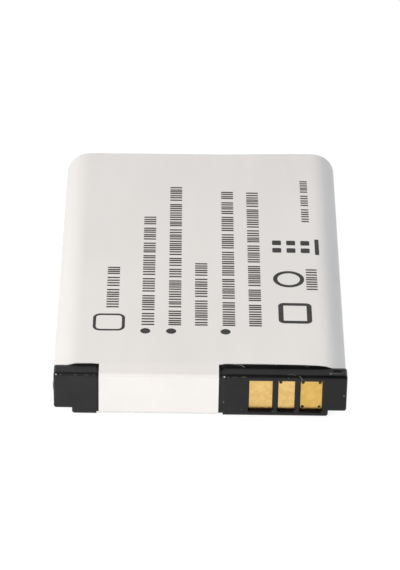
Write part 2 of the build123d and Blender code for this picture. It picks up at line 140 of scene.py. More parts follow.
# Clouding: slow drift between two tones of one colour
CLOUD_TONES = (0.36, 0.66)
clouding, given, result = start_effect(
    "clouding",
    [
        ("Light", "Color", (0.8, 0.8, 0.8, 1)),
        ("Dark", "Color", (0.6, 0.6, 0.6, 1)),
        ("Scale", "Float", 300.0),
        ("Stretch", "Vector", (1, 1, 1)),
    ],
    [("Colour", "Color")],
)
tone = in_range(clouding, noise(clouding, given["Scale"], detail=4.0, stretch=given["Stretch"]), *CLOUD_TONES)
clouding.links.new(blend(clouding, tone, given["Dark"], given["Light"]), result["Colour"])

# Grain: fine relief, drawn out along one way where the metal was rolled or drawn
grain, given, result = start_effect(
    "grain",
    [
        ("Scale", "Float", 8000.0),
        ("Stretch", "Vector", (1, 1, 1)),
        ("Roughest", "Float", 0.5),
        ("Smoothest", "Float", 0.3),
    ],
    [("Height", "Float"), ("Roughness", "Float")],
)
relief = noise(grain, given["Scale"], detail=3.0, stretch=given["Stretch"])
spread = {"Value": relief, "To Min": given["Smoothest"], "To Max": given["Roughest"]}
grain.links.new(relief, result["Height"])
grain.links.new(add_node(grain, "MapRange", spread).outputs["Result"], result["Roughness"])


def start_finish(name):
    """An empty material and its node tree."""
    material = bpy.data.materials.new(name)
    material.use_nodes = True
    material.node_tree.nodes.clear()
    return material, material.node_tree


def raise_surface(tree, height, depth, normal=None):
    """The normal of a surface with relief of a depth in metres, over another normal where one is given."""
    under = {} if normal is None else {"Normal": normal}
    return add_node(tree, "Bump", {"Height": height, "Distance": depth, **under}).outputs["Normal"]


def close_finish(tree, inputs):
    """Ends a material with its Principled shader."""
    shader = add_node(tree, "BsdfPrincipled", inputs)
    add_node(tree, "OutputMaterial", {"Surface": shader.outputs["BSDF"]})


def clouded_finish(name, clouds, skin, relief, metallic=0.0):
    """A finish of clouded colour over a grained skin, with a relief in metres."""
    material, tree = start_finish(name)
    tint = use_effect(tree, clouding, clouds)
    grained = use_effect(tree, grain, skin)
    close_finish(
        tree,
        {
            "Base Color": tint["Colour"],
            "Metallic": metallic,
            "Roughness": grained["Roughness"],
            "Normal": raise_surface(tree, grained["Height"], relief),
        },
    )
    return material


def dress(material, *names):
    """Gives CAD nodes their finish."""
    for name in names:
        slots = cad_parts[name].material_slots
        if not slots:
            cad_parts[name].data.materials.append(material)
        for slot in slots:
            slot.material = material


can_metal = clouded_finish(
    "can_metal",
    {"Light": (0.66, 0.67, 0.68, 1), "Dark": (0.54, 0.55, 0.57, 1), "Scale": 260.0},
    {"Scale": 9000.0, "Stretch": (1, 0.03, 1), "Roughest": 0.5, "Smoothest": 0.3},
    relief=0.003 * MM,
    metallic=1.0,
)
dress(can_metal, "cell_can")

# Nickel pieces: the rivet, the clad plate, the weld pads and the leads. Rolled nickel strip, cut and folded,
# and spot welded, with fine roll lines along the strip and a warm grey colour.
nickel = clouded_finish(
    "nickel",
    {"Light": (0.60, 0.58, 0.53, 1), "Dark": (0.46, 0.44, 0.40, 1), "Scale": 700.0},
    {"Scale": 14000.0, "Stretch": (0.05, 1, 1), "Roughest": 0.46, "Smoothest": 0.24},
    relief=0.002 * MM,
    metallic=1.0,
)
dress(nickel, "terminal_rivet", "clad_plate", "positive_weld_pad", "negative_weld_pad")
dress(nickel, "positive_lead", "negative_lead", "cutoff_lead")

# Terminal gasket: a small bush moulded in natural plastic, milky and smooth. The rivet squeezes it against
# the lid, so that it seals the cell and keeps the two apart.
gasket_plastic = clouded_finish(
    "gasket_plastic",
    {"Light": (0.72, 0.71, 0.67, 1), "Dark": (0.62, 0.61, 0.56, 1), "Scale": 900.0},
    {"Scale": 12000.0, "Roughest": 0.55, "Smoothest": 0.4},
    relief=0.002 * MM,
)
dress(gasket_plastic, "terminal_gasket")

# Lid insulator: a punched sheet of vulcanised fibre, laid on the lid. Its pressed fibres show as short
# hairs lighter and darker than the grey-green sheet.
insulator_fibre = clouded_finish(
    "insulator_fibre",
    {
        "Light": (0.13, 0.19, 0.15, 1),
        "Dark": (0.05, 0.085, 0.06, 1),
        "Scale": 5000.0,
        "Stretch": (0.35, 1, 1),
    },
    {"Scale": 9000.0, "Stretch": (0.3, 1, 1), "Roughest": 0.9, "Smoothest": 0.7},
    relief=0.01 * MM,
)
dress(insulator_fibre, "lid_insulator")

# Thermal cutoff and its tape: a breaker moulded in dark resin, lying on the insulator under a strip of
# amber film that is pressed down over it.
cutoff_resin = clouded_finish(
    "cutoff_resin",
    {"Light": (0.022, 0.022, 0.025, 1), "Dark": (0.012, 0.012, 0.014, 1), "Scale": 1500.0},
    {"Scale": 16000.0, "Roughest": 0.6, "Smoothest": 0.4},
    relief=0.006 * MM,
)
tape_film = clouded_finish(
    "tape_film",
    {"Light": (0.52, 0.2, 0.02, 1), "Dark": (0.38, 0.13, 0.012, 1), "Scale": 1100.0},
    {"Scale": 2200.0, "Roughest": 0.3, "Smoothest": 0.15},
    relief=0.02 * MM,
)
dress(cutoff_resin, "thermal_cutoff")
dress(tape_film, "cutoff_tape")

# Circuit board: glass-fibre and resin laminate with copper tracks under a brown-black mask on both faces. The
# sawn edges have no mask and show the straw-coloured layers of cloth.
TRACK_SCALE = 900.0
TRACK_EDGE = (0.06, 0.1)
TRACK_DEPTH = 0.02 * MM
MASKED_TRACK = (0.04, 0.022, 0.012, 1)
CLOTH_LAYER_SCALE = 7000.0
FACE_TURN = (0.6, 0.8)


def along_axis(tree, vector, axis):
    """The part of a vector that lies along one axis."""
    return add_node(tree, "SeparateXYZ", {0: vector}).outputs[axis]


board_laminate, tree = start_finish("board_laminate")
tracks = add_node(
    tree, "TexVoronoi", {"Vector": object_places(tree), "Scale": TRACK_SCALE}, feature="DISTANCE_TO_EDGE"
)
on_track = in_range(tree, tracks.outputs["Distance"], *TRACK_EDGE)
mask_tint = use_effect(
    tree, clouding, {"Light": (0.022, 0.013, 0.008, 1), "Dark": (0.013, 0.008, 0.006, 1), "Scale": 800.0}
)
mask_colour = blend(tree, on_track, mask_tint["Colour"], MASKED_TRACK)
layers = use_effect(
    tree,
    clouding,
    {
        "Light": (0.5, 0.42, 0.24, 1),
        "Dark": (0.3, 0.24, 0.12, 1),
        "Scale": CLOTH_LAYER_SCALE,
        "Stretch": (0.1, 1, 0.1),
    },
)
facing = along_axis(tree, add_node(tree, "NewGeometry").outputs["Normal"], "Y")
masked = in_range(tree, maths(tree, "ABSOLUTE", facing), *FACE_TURN)
skin = use_effect(tree, grain, {"Scale": 6000.0, "Roughest": 0.42, "Smoothest": 0.25})
close_finish(
    tree,
    {
        "Base Color": blend(tree, masked, layers["Colour"], mask_colour),
        "Roughness": skin["Roughness"],
        "Normal": raise_surface(tree, maths(tree, "MULTIPLY", on_track, masked), TRACK_DEPTH),
    },
)
dress(board_laminate, "circuit_board")

# Chips on the board: black moulded bodies on bright tinned leads, and small ceramic resistors and capacitors
# with tinned ends. They are soldered to the back of the board.
TIN = (0.62, 0.62, 0.62, 1)
BOX_MIDDLE = (0.5, 0.5, 0.5)


def vector_maths(tree, operation, first, second, output="Vector"):
    """The result of one sum between two vectors: a vector, or the number that its output gives."""
    return add_node(tree, "VectorMath", {0: first, 1: second}, operation=operation).outputs[output]


# Tinned ends: where a chip's metal shows, at both ends of its box along one direction
tinned_ends, given, result = start_effect(
    "tinned_ends", [("Direction", "Vector", (1, 0, 0)), ("Body Share", "Float", 0.5)], [("Mask", "Float")]
)
box_places = add_node(tinned_ends, "TexCoord").outputs["Generated"]
from_middle = vector_maths(tinned_ends, "SUBTRACT", box_places, BOX_MIDDLE)
along = vector_maths(tinned_ends, "DOT_PRODUCT", from_middle, given["Direction"], "Value")
reach = maths(tinned_ends, "MULTIPLY", maths(tinned_ends, "ABSOLUTE", along), 2.0)
tinned_ends.links.new(maths(tinned_ends, "GREATER_THAN", reach, given["Body Share"]), result["Mask"])


def chip_finish(name, light, dark, direction, body_share):
    """A chip's body in its own colour, with tinned metal beyond the body's share of its length."""
    material, tree = start_finish(name)
    tint = use_effect(tree, clouding, {"Light": light, "Dark": dark, "Scale": 2500.0})
    skin = use_effect(tree, grain, {"Scale": 20000.0, "Roughest": 0.55, "Smoothest": 0.35})
    ends = use_effect(tree, tinned_ends, {"Direction": direction, "Body Share": body_share})
    close_finish(
        tree,
        {
            "Base Color": blend(tree, ends["Mask"], tint["Colour"], TIN),
            "Metallic": ends["Mask"],
            "Roughness": skin["Roughness"],
            "Normal": raise_surface(tree, skin["Height"], 0.005 * MM),
        },
    )
    return material


ACROSS, UPWARD = (1, 0, 0), (0, 0, 1)
RESIN_LIGHT, RESIN_DARK = (0.024, 0.024, 0.026, 1), (0.014, 0.014, 0.016, 1)
BLACK_LIGHT, BLACK_DARK = (0.05, 0.05, 0.055, 1), (0.02, 0.02, 0.024, 1)
BROWN_LIGHT, BROWN_DARK = (0.36, 0.22, 0.11, 1), (0.27, 0.16, 0.075, 1)
chip_resin_small = chip_finish("chip_resin_small", RESIN_LIGHT, RESIN_DARK, ACROSS, body_share=0.6)
chip_resin_wide = chip_finish("chip_resin_wide", RESIN_LIGHT, RESIN_DARK, ACROSS, body_share=0.71)
resistor_ceramic = chip_finish("resistor_ceramic", BLACK_LIGHT, BLACK_DARK, UPWARD, body_share=0.5)
capacitor_ceramic = chip_finish("capacitor_ceramic", BROWN_LIGHT, BROWN_DARK, UPWARD, body_share=0.5)
dress(chip_resin_small, "protection_chip")
dress(chip_resin_wide, "switch_transistors")
dress(resistor_ceramic, "filter_resistor", "sense_resistor", "id_resistor", "thermistor")
dress(capacitor_ceramic, "filter_capacitor", "output_capacitor")

# Board foam: a block cut from black closed-cell foam. It is squeezed behind the board and presses it against
# the cap, and its cut cells show as small pits, darker towards their middles: painted shade.
FOAM_CELL_SCALE = 5200.0
FOAM_CELL_WALL = (0.1, 0.7)
foam, tree = start_finish("foam")
cells = add_node(tree, "TexVoronoi", {"Vector": object_places(tree), "Scale": FOAM_CELL_SCALE})
pit_and_shade = in_range(tree, cells.outputs["Distance"], *FOAM_CELL_WALL)
# The colour darkens towards each pit's middle: painted shade
close_finish(
    tree,
    {
        "Base Color": blend(tree, pit_and_shade, (0.004, 0.004, 0.004, 1), (0.03, 0.03, 0.031, 1)),
        "Roughness": 0.92,
        "Normal": raise_surface(tree, pit_and_shade, 0.05 * MM),
    },
)
dress(foam, "board_foam")

# Gold contacts: copper pads plated with nickel and gold on the front of the board. The soft gold is clouded,
# wiped by the handset's springs up and down and browner towards the lower edge. Along its rim it is a
# shade brighter: a painted highlight.
RIM_WIDTH = 0.07 * MM
RIM_HIGHLIGHT = 0.6
WIPE_BRIGHTNESS = 0.2
HIGHLIGHT_AND_WIPE_GOLD = (0.92, 0.70, 0.34, 1)
BROWN_GOLD = (0.30, 0.17, 0.05, 1)
BROWN_EDGE = (0.06, 0.11)
BROWN_EDGE_DRIFT = 0.1
BROWN_EDGE_SCALE = 2600.0

# Worn and highlit edges: a mask along the sharp edges of a piece, broken up so that it isn't even. The cap
# greys its worn edges with it, and the gold paints a highlight along its rim with it.
EDGE_SHARPNESS = (0.015, 0.22)
EDGE_PATCHES = (0.3, 0.62)
worn_and_highlit_edges, given, result = start_effect(
    "worn_and_highlit_edges", [("Width", "Float", 0.1 * MM), ("Patch Scale", "Float", 900.0)], [("Mask", "Float")]
)
softened = add_node(worn_and_highlit_edges, "Bevel", {"Radius": given["Width"]}, samples=6).outputs["Normal"]
plain = add_node(worn_and_highlit_edges, "NewGeometry").outputs["Normal"]
likeness = vector_maths(worn_and_highlit_edges, "DOT_PRODUCT", softened, plain, "Value")
edge = in_range(worn_and_highlit_edges, maths(worn_and_highlit_edges, "SUBTRACT", 1.0, likeness), *EDGE_SHARPNESS)
broken = in_range(worn_and_highlit_edges, noise(worn_and_highlit_edges, given["Patch Scale"]), *EDGE_PATCHES)
worn_and_highlit_edges.links.new(maths(worn_and_highlit_edges, "MULTIPLY", edge, broken), result["Mask"])

# Wipes: thin broken lines, where a stretched noise crosses its middle value
NOISE_MIDDLE = 0.5
WIPE_PATCH_SCALE = 420.0
WIPE_PATCHES = (0.5, 0.62)
wipe_lines, given, result = start_effect(
    "wipe_lines",
    [("Stretch", "Vector", (1, 1, 1)), ("Scale", "Float", 900.0), ("Width", "Float", 0.01)],
    [("Mask", "Float")],
)
wander = noise(wipe_lines, given["Scale"], detail=1.0, stretch=given["Stretch"])
off_line = maths(wipe_lines, "ABSOLUTE", maths(wipe_lines, "SUBTRACT", wander, NOISE_MIDDLE))
line = maths(wipe_lines, "LESS_THAN", off_line, given["Width"])
kept = in_range(wipe_lines, noise(wipe_lines, WIPE_PATCH_SCALE), *WIPE_PATCHES)
wipe_lines.links.new(maths(wipe_lines, "MULTIPLY", line, kept), result["Mask"])


def gold_finish(name, light, dark):
    """Gold plating between two tones, brown along its lower edge, with a painted highlight along its rim."""
    material, tree = start_finish(name)
    tint = use_effect(tree, clouding, {"Light": light, "Dark": dark, "Scale": 1500.0})
    height = along_axis(tree, add_node(tree, "TexCoord").outputs["Generated"], "Z")
    drift = maths(tree, "MULTIPLY", noise(tree, BROWN_EDGE_SCALE), BROWN_EDGE_DRIFT)
    clean = in_range(tree, maths(tree, "ADD", height, drift), *BROWN_EDGE)
    aged = blend(tree, clean, BROWN_GOLD, tint["Colour"])
    rim = use_effect(tree, worn_and_highlit_edges, {"Width": RIM_WIDTH, "Patch Scale": 2000.0})
    wipes = use_effect(tree, wipe_lines, {"Stretch": (1, 1, 0.06), "Scale": 2400.0, "Width": 0.012})
    # The brighter gold along the rim is a painted highlight
    painted_rim_highlight = maths(tree, "MULTIPLY", rim["Mask"], RIM_HIGHLIGHT)
    bright_wipes = maths(tree, "MULTIPLY", wipes["Mask"], WIPE_BRIGHTNESS)
    bright = maths(tree, "MAXIMUM", painted_rim_highlight, bright_wipes)
    skin = use_effect(
        tree, grain, {"Scale": 9000.0, "Stretch": (1, 1, 0.3), "Roughest": 0.42, "Smoothest": 0.28}
    )
    close_finish(
        tree,
        {
            "Base Color": blend(tree, bright, aged, HIGHLIGHT_AND_WIPE_GOLD),
            "Metallic": 1.0,
            "Roughness": skin["Roughness"],
            "Normal": raise_surface(tree, skin["Height"], 0.004 * MM),
        },
    )
    return material


contact_gold = gold_finish("contact_gold", (0.81, 0.56, 0.216, 1), (0.725, 0.478, 0.165, 1))
worn_gold = gold_finish("worn_gold", (0.74, 0.487, 0.142, 1), (0.685, 0.43, 0.11, 1))
dress(contact_gold, "left_contact", "middle_contact")
dress(worn_gold, "right_contact")

# Front cap: one moulding of black plastic with a fine matt texture, pressed over the lid and glued. Its
# colour is lighter towards its left end and darker towards its right: painted light from the lamp at the
# front left.
# Handling has left pale scuffs along its step and its front edge, a few nicks and slightly greyed edges.
MOULDED_ROUND = 0.5 * MM
GREYED_EDGE_WIDTH = 0.12 * MM
GREYED_SHARE = 0.25
GREYED_PLASTIC = (0.04, 0.04, 0.043, 1)
# Pale grey for the scuffs, nicks and dust, and for the painted light in the dimple
PALE_WEAR_AND_PAINTED_LIGHT = (0.75, 0.74, 0.73, 1)
SPECK_PALENESS = 0.12
LIT_LEFT_TO_SHADED_RIGHT = (0.1, 1.0)

# Each mark on the cap: half its width in millimetres, how pale it is, and the photograph's pixels that it
# passes, across and down. One pixel alone is a nick. The last mark is painted light: a faint paleness that
# lifts the shade inside the dimple.
CAP_MARKS = (
    (0.055, 0.34, ((233.1, 364.4), (238.0, 364.7), (241.5, 365.6), (244.4, 367.2))),
    (0.04, 0.14, ((305.3, 366.3), (308.7, 366.6))),
    (0.045, 0.16, ((287.5, 374.8), (291.9, 374.5), (296.1, 375.7))),
    (0.045, 0.2, ((299.3, 376.2), (300.4, 376.9), (301.3, 378.5), (302.9, 380.3))),
    (0.085, 1.0, ((224.4, 377.1),)),
    (0.06, 0.16, ((228.5, 377.1),)),
    (0.055, 0.14, ((233.3, 377.2), (234.2, 377.2))),
    (0.055, 0.14, ((236.2, 377.2),)),
    (0.055, 0.12, ((241.9, 377.1), (245.8, 377.1))),
    (0.06, 0.16, ((288.8, 378.2),)),
    (0.13, 0.4, ((330.9, 373.8),)),
    (0.085, 0.28, ((344.0, 395.8), (344.0, 396.2))),
    (0.08, 0.22, ((223.5, 402.1),)),
    (0.06, 0.14, ((241.3, 409.4),)),
    (0.085, 0.75, ((56.0, 374.4),)),
    (0.06, 0.18, ((60.6, 374.3),)),
    (0.05, 0.08, ((74.0, 374.8), (76.6, 374.8))),
    (0.05, 0.08, ((84.8, 374.8), (88.2, 374.8))),
    (0.055, 0.12, ((93.8, 375.0),)),
    # The last mark is painted light that lifts the shade in the dimple
    (0.42, 0.022, ((334.5, 372.7), (340.5, 372.9))),
)
NICK_REACH = Vector((0.025, 0, 0)) * MM
camera_turn = camera.matrix_world.to_3x3()
cap_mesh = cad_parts["front_cap"].data
cap_surface = BVHTree.FromPolygons(
    [corner.co for corner in cap_mesh.vertices], [tuple(face.vertices) for face in cap_mesh.polygons]
)


def on_cap(pixel):
    """The place on the cap that the photograph shows at a pixel."""
    ray = Vector((pixel[0] - FRAME_WIDTH / 2, FRAME_HEIGHT / 2 - pixel[1], -FOCAL_PIXELS))
    return cap_surface.ray_cast(CAMERA_PLACE, camera_turn @ ray)[0]


def mark_strokes(pixels):
    """The straight strokes that lay a mark on the cap, each with its start and end."""
    places = [on_cap(pixel) for pixel in pixels]
    if len(places) == 1:
        places = [places[0] - NICK_REACH, places[0] + NICK_REACH]
    return list(zip(places, places[1:]))


# Specks: small scattered dots of dust and nicks
specks, given, result = start_effect(
    "specks",
    [("Scale", "Float", 900.0), ("Size", "Float", 0.1), ("Share", "Float", 0.2)],
    [("Mask", "Float")],
)
spots = add_node(specks, "TexVoronoi", {"Vector": object_places(specks), "Scale": given["Scale"]})
lot = add_node(specks, "SeparateColor", {0: spots.outputs["Color"]}).outputs["Red"]
chosen = maths(specks, "LESS_THAN", lot, given["Share"])
inside = maths(specks, "LESS_THAN", spots.outputs["Distance"], given["Size"])
specks.links.new(maths(specks, "MULTIPLY", chosen, inside), result["Mask"])

# Scuff and painted light: a mask along a straight stroke between two places, whole in its core and fading to
# its edge. It lays the cap's scuffs and nicks, and the painted light in its dimple.
MARK_CORE = 0.4
scuff_and_painted_light, given, result = start_effect(
    "scuff_and_painted_light",
    [
        ("Start", "Vector", (0, 0, 0)),
        ("End", "Vector", (0.001, 0, 0)),
        ("Half Width", "Float", 0.05 * MM),
        ("Paleness", "Float", 1.0),
    ],
    [("Mask", "Float")],
)
stroke_run = vector_maths(scuff_and_painted_light, "SUBTRACT", given["End"], given["Start"])
offset = vector_maths(scuff_and_painted_light, "SUBTRACT", object_places(scuff_and_painted_light), given["Start"])
along = vector_maths(scuff_and_painted_light, "DOT_PRODUCT", offset, stroke_run, "Value")
whole = vector_maths(scuff_and_painted_light, "DOT_PRODUCT", stroke_run, stroke_run, "Value")
share = add_node(scuff_and_painted_light, "Math", {0: along, 1: whole}, operation="DIVIDE", use_clamp=True).outputs[0]
nearest = add_node(scuff_and_painted_light, "VectorMath", {0: stroke_run, "Scale": share}, operation="SCALE").outputs[0]
away = vector_maths(scuff_and_painted_light, "DISTANCE", offset, nearest, "Value")
core = maths(scuff_and_painted_light, "MULTIPLY", given["Half Width"], MARK_CORE)
worn = in_range(scuff_and_painted_light, away, given["Half Width"], core)
scuff_and_painted_light.links.new(maths(scuff_and_painted_light, "MULTIPLY", worn, given["Paleness"]), result["Mask"])

cap_plastic, tree = start_finish("cap_plastic")
# The colour runs from a lighter tint at the left end to a darker one at the right end: painted light from the
# lamp at the front left
lit_left_tint = use_effect(
    tree, clouding, {"Light": (0.0145, 0.0145, 0.015, 1), "Dark": (0.0105, 0.0105, 0.011, 1), "Scale": 500.0}
)
shaded_right_tint = use_effect(
    tree, clouding, {"Light": (0.0035, 0.0035, 0.004, 1), "Dark": (0.0015, 0.0015, 0.002, 1), "Scale": 500.0}
)
across = along_axis(tree, add_node(tree, "TexCoord").outputs["Generated"], "X")
tint = blend(tree, in_range(tree, across, *LIT_LEFT_TO_SHADED_RIGHT), lit_left_tint["Colour"], shaded_right_tint["Colour"])
edges = use_effect(tree, worn_and_highlit_edges, {"Width": GREYED_EDGE_WIDTH, "Patch Scale": 1100.0})
greyed = blend(tree, maths(tree, "MULTIPLY", edges["Mask"], GREYED_SHARE), tint, GREYED_PLASTIC)
dots = use_effect(tree, specks, {"Scale": 1500.0, "Size": 0.13, "Share": 0.03})
marked = maths(tree, "MULTIPLY", dots["Mask"], SPECK_PALENESS)
for half_width, paleness, pixels in CAP_MARKS:
    for start, end in mark_strokes(pixels):
        stroke = {
            "Start": start,
            "End": end,
            "Half Width": half_width * MM,
            "Paleness": paleness,
        }
        marked = maths(tree, "MAXIMUM", marked, use_effect(tree, scuff_and_painted_light, stroke)["Mask"])
skin = use_effect(tree, grain, {"Scale": 11000.0, "Roughest": 0.36, "Smoothest": 0.24})
moulded_round = add_node(tree, "Bevel", {"Radius": MOULDED_ROUND}, samples=8).outputs["Normal"]
close_finish(
    tree,
    {
        "Base Color": blend(tree, marked, greyed, PALE_WEAR_AND_PAINTED_LIGHT),
        "IOR": 1.38,
        "Roughness": skin["Roughness"],
        "Normal": raise_surface(tree, skin["Height"], 0.005 * MM, moulded_round),
    },
)
dress(cap_plastic, "front_cap")

# Rear pad: a white insulating sheet, punched from plastic with a dull smooth face. It lies on the can's
# closed end, and the folded label holds it there.
pad_plastic = clouded_finish(
    "pad_plastic",
    {"Light": (0.80, 0.80, 0.77, 1), "Dark": (0.74, 0.74, 0.71, 1), "Scale": 400.0},
    {"Scale": 7000.0, "Roughest": 0.7, "Smoothest": 0.55},
    relief=0.004 * MM,
)
dress(pad_plastic, "rear_pad")

# Label wrap: white polyester film with a satin face, wound round the cell and the cap's shoulder, glued,
# folded over the back and folded down the cap as a tab. It has faint streaks from its coating and a few soft
# dents. Where its face turns from the top towards the front, over the cap's shoulder, its colour is a shade
# greyer: painted shade.
SHADED_SHOULDER_TURN = (-0.08, -0.28)
SHOULDER_PAINTED_SHADE = (0.79, 0.775, 0.76, 1)
COATING_DEPTH = 0.012 * MM
DENT_SCALE = 120.0
DENT_STRETCH, DENT_SLANT = (1, 0.4, 1), (0, 0, 0.9)
DENT_EDGE = (0.56, 0.72)
DENT_DEPTH = 0.06 * MM
label_film, tree = start_finish("label_film")
tint = use_effect(
    tree,
    clouding,
    {
        "Light": (0.87, 0.855, 0.84, 1),
        "Dark": (0.845, 0.83, 0.815, 1),
        "Scale": 160.0,
        "Stretch": (1, 0.25, 1),
    },
)
coating = use_effect(
    tree, grain, {"Scale": 420.0, "Stretch": (1, 0.2, 1), "Roughest": 0.52, "Smoothest": 0.36}
)
facing = add_node(tree, "SeparateXYZ", {0: add_node(tree, "NewGeometry").outputs["Normal"]}).outputs
# Where the face turns from the top towards the front, the colour is greyer: painted shade
painted_shoulder_shade = in_range(tree, maths(tree, "MULTIPLY", facing["Y"], facing["Z"]), *SHADED_SHOULDER_TURN)
hollows = noise(tree, DENT_SCALE, detail=0.5, stretch=DENT_STRETCH, turn=DENT_SLANT)
dent = in_range(tree, hollows, *DENT_EDGE)
dented = raise_surface(tree, dent, DENT_DEPTH)
close_finish(
    tree,
    {
        "Base Color": blend(tree, painted_shoulder_shade, tint["Colour"], SHOULDER_PAINTED_SHADE),
        "Roughness": coating["Roughness"],
        "Normal": raise_surface(tree, coating["Height"], COATING_DEPTH, dented),
    },
)
dress(label_film, "label_wrap")

# Label film: the same wrap as it really lies. It was wound on by hand, so its front edge runs askew and stops
# short of the cap's face beside the tab, and it stands off a little at the back right corner, along the back
# of its right side and along the front of its left side.
SHOULDER_DEPTH = 1.9 * MM
EDGE_REACH = 2.5 * MM
EDGE_SLICES = 6
EDGE_TOLERANCE = 0.001
SLICE_WIDTH = 0.4 * MM
LOOSE_SIDE = 0.15 * MM
LOOSE_BACK = 0.5 * MM

# Where the film starts to stand off and where it stands off in full, as shares of the half width or length
SIDE_RISE = (0.8, 1)
LENGTH_RISE = (0, 1)
CORNER_RISE = (0.1, 0.8)
BACK_RISE = (0.6, 1)

# How far the front edge is drawn back, by place across the pack, in millimetres
EDGE_DRAWN_BACK = (
    (-17.2, 0.06),
    (-12.6, 0.1),
    (-11.9, 0.0),
    (2.2, 0.0),
    (2.9, 0.24),
    (7.4, 0.31),
    (12.0, 0.28),
    (13.8, 0.19),
    (15.0, 0.04),
    (17.2, 0.06),
)
label_low, label_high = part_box("label_wrap")
edge_y = label_low.y + SHOULDER_DEPTH
middle_z = (label_low.z + label_high.z) / 2
slice_count = int((label_high.x - label_low.x) / SLICE_WIDTH)


def drawn_back(x):
    """How far back the label's front edge lies from straight, at a place across the pack."""
    for (x_start, back_start), (x_end, back_end) in zip(EDGE_DRAWN_BACK, EDGE_DRAWN_BACK[1:]):
        if x <= x_end * MM:
            share = (x - x_start * MM) / ((x_end - x_start) * MM)
            return (back_start + share * (back_end - back_start)) * MM
    return 0.0


def eased(value, low, high):
    """A share that rises smoothly from 0 at the low end of a range to 1 at the high end."""
    share = min(max((value - low) / (high - low), 0), 1)
    return share * share * (3 - 2 * share)


film = bmesh.new()
film.from_mesh(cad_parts["label_wrap"].data)
slices = []
for step in range(1, slice_count + 1):
    slices.append((Vector((label_low.x + SLICE_WIDTH * step, 0, 0)), Vector((1, 0, 0))))
for step in range(1, EDGE_SLICES + 1):
    slices.append((Vector((0, edge_y + EDGE_REACH * step / EDGE_SLICES, 0)), Vector((0, 1, 0))))
for place, slice_way in slices:
    pieces = film.verts[:] + film.edges[:] + film.faces[:]
    bmesh.ops.bisect_plane(film, geom=pieces, plane_co=place, plane_no=slice_way)
for corner in film.verts:
    behind = (corner.co.y - edge_y) / EDGE_REACH
    if corner.co.z > middle_z and -EDGE_TOLERANCE < behind < 1:
        corner.co.y += drawn_back(corner.co.x) * (1 - eased(behind, 0, 1))
    across, along = corner.co.x / label_high.x, corner.co.y / label_high.y
    right, left = eased(across, *SIDE_RISE), eased(-across, *SIDE_RISE)
    corner.co.x += LOOSE_SIDE * right * eased(along, *LENGTH_RISE)
    corner.co.x -= LOOSE_SIDE * left * eased(-along, *LENGTH_RISE)
    corner.co.y += (LOOSE_BACK * eased(across, *CORNER_RISE) + LOOSE_SIDE * right) * eased(along, *BACK_RISE)
film_mesh = bpy.data.meshes.new("label_sheet")
film.to_mesh(film_mesh)
film.free()
film_mesh.materials.append(label_film)
label_sheet = bpy.data.objects.new("label_sheet", film_mesh)
bpy.context.scene.collection.objects.link(label_sheet)
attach(label_sheet, "root")
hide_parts("label_wrap")

# Printing on the label: one dark ink, laid down as rows of plain strokes that run back from the cap, with
# dots, squares and outlined shapes beside them. It follows the label's slight crown.
INK_LIFT = 0.012 * MM
CROWN = 0.06 * MM
SIDE_FLAT = 0.25 * MM
CORNER_STEPS = 6

# The print's sizes and places are in millimetres, across the pack from its middle and back from the cap's
# face
ROW_WIDTH = 1.5
STROKE = 0.29
STROKE_CORNER = 0.2 * STROKE
STROKE_SPACING = (0.42, 0.64)
GROUP_LENGTHS = (1.5, 6.6)
GROUP_SPACE = 0.5
DOT_WIDTH = 1.2
DOT_BACK = 9.0

# Each row: its place across, where it starts and ends, its width as a share of a full row's, and how far off
# the row's middle its dot lies, where it has one
ROWS = (
    (-10.55, 14.2, 23.4, 1, None),
    (13.1, 35.0, 45.4, 0.63, None),
    (-6.27, 10.3, 35.5, 1, -0.28),
    (-3.07, 10.3, 43.0, 1, -0.42),
    (0.08, 10.3, 24.8, 1, None),
    (3.37, 10.3, 42.4, 1, -0.42),
    (6.53, 10.3, 42.0, 1, None),
    (13.5, 18.8, 23.6, 0.9, None),
)

# Each outlined shape: the place of its middle, its width, its length, its corners' radius and its stroke.
# They are a rounded square, a rectangle and a ring.
OUTLINES = (
    (-10.9, 10.9, 3.8, 3.8, 0.9, 0.36),
    (11.3, 13.4, 4.0, 4.6, 0.7, 0.6),
    (10.7, 21.2, 3.8, 3.8, 1.89, 0.52),
)
SQUARES_ACROSS = (9.4, 11.15, 12.9)
SQUARES_BACK = (28.0, 29.8)
SQUARE_WIDTH = 1.1
SQUARE_CORNER = 0.15
BAR_PLACE = (14.35, 28.9)
BAR_WIDTH, BAR_LENGTH, BAR_CORNER = 0.5, 3.7, 0.1

# The strokes' spacing is drawn at random, from a seed with which the rows end where the photograph's
# print does
PRINT_SEED = 14235
cap_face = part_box("front_cap")[0].y
cell_low, cell_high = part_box("cell_can")
side_round = (cell_high.z - cell_low.z - CROWN - SIDE_FLAT) / 2
crown_half = cell_high.x - side_round
crown_radius = (crown_half**2 + CROWN**2) / (2 * CROWN)


def on_label(x, y):
    """A point just above the crowned label, in metres."""
    drop = crown_radius - math.sqrt(crown_radius**2 - (x * MM) ** 2)
    return (x * MM, cap_face + y * MM, label_high.z - drop + INK_LIFT)


def rounded_outline(x, y, width, length, corner):
    """Points round a rectangle with rounded corners."""
    points = []
    for turn, (side, end) in enumerate(((1, 1), (-1, 1), (-1, -1), (1, -1))):
        for step in range(CORNER_STEPS + 1):
            angle = math.pi / 2 * (turn + step / CORNER_STEPS)
            across = side * (width / 2 - corner) + corner * math.cos(angle)
            back = end * (length / 2 - corner) + corner * math.sin(angle)
            points.append((x + across, y + back))
    return points


def ink_patch(vertices, faces, x, y, width, length, corner):
    """One filled shape of ink."""
    outline = rounded_outline(x, y, width, length, corner)
    start = len(vertices)
    vertices.extend(on_label(*point) for point in outline)
    faces.append(tuple(range(start, start + len(outline))))


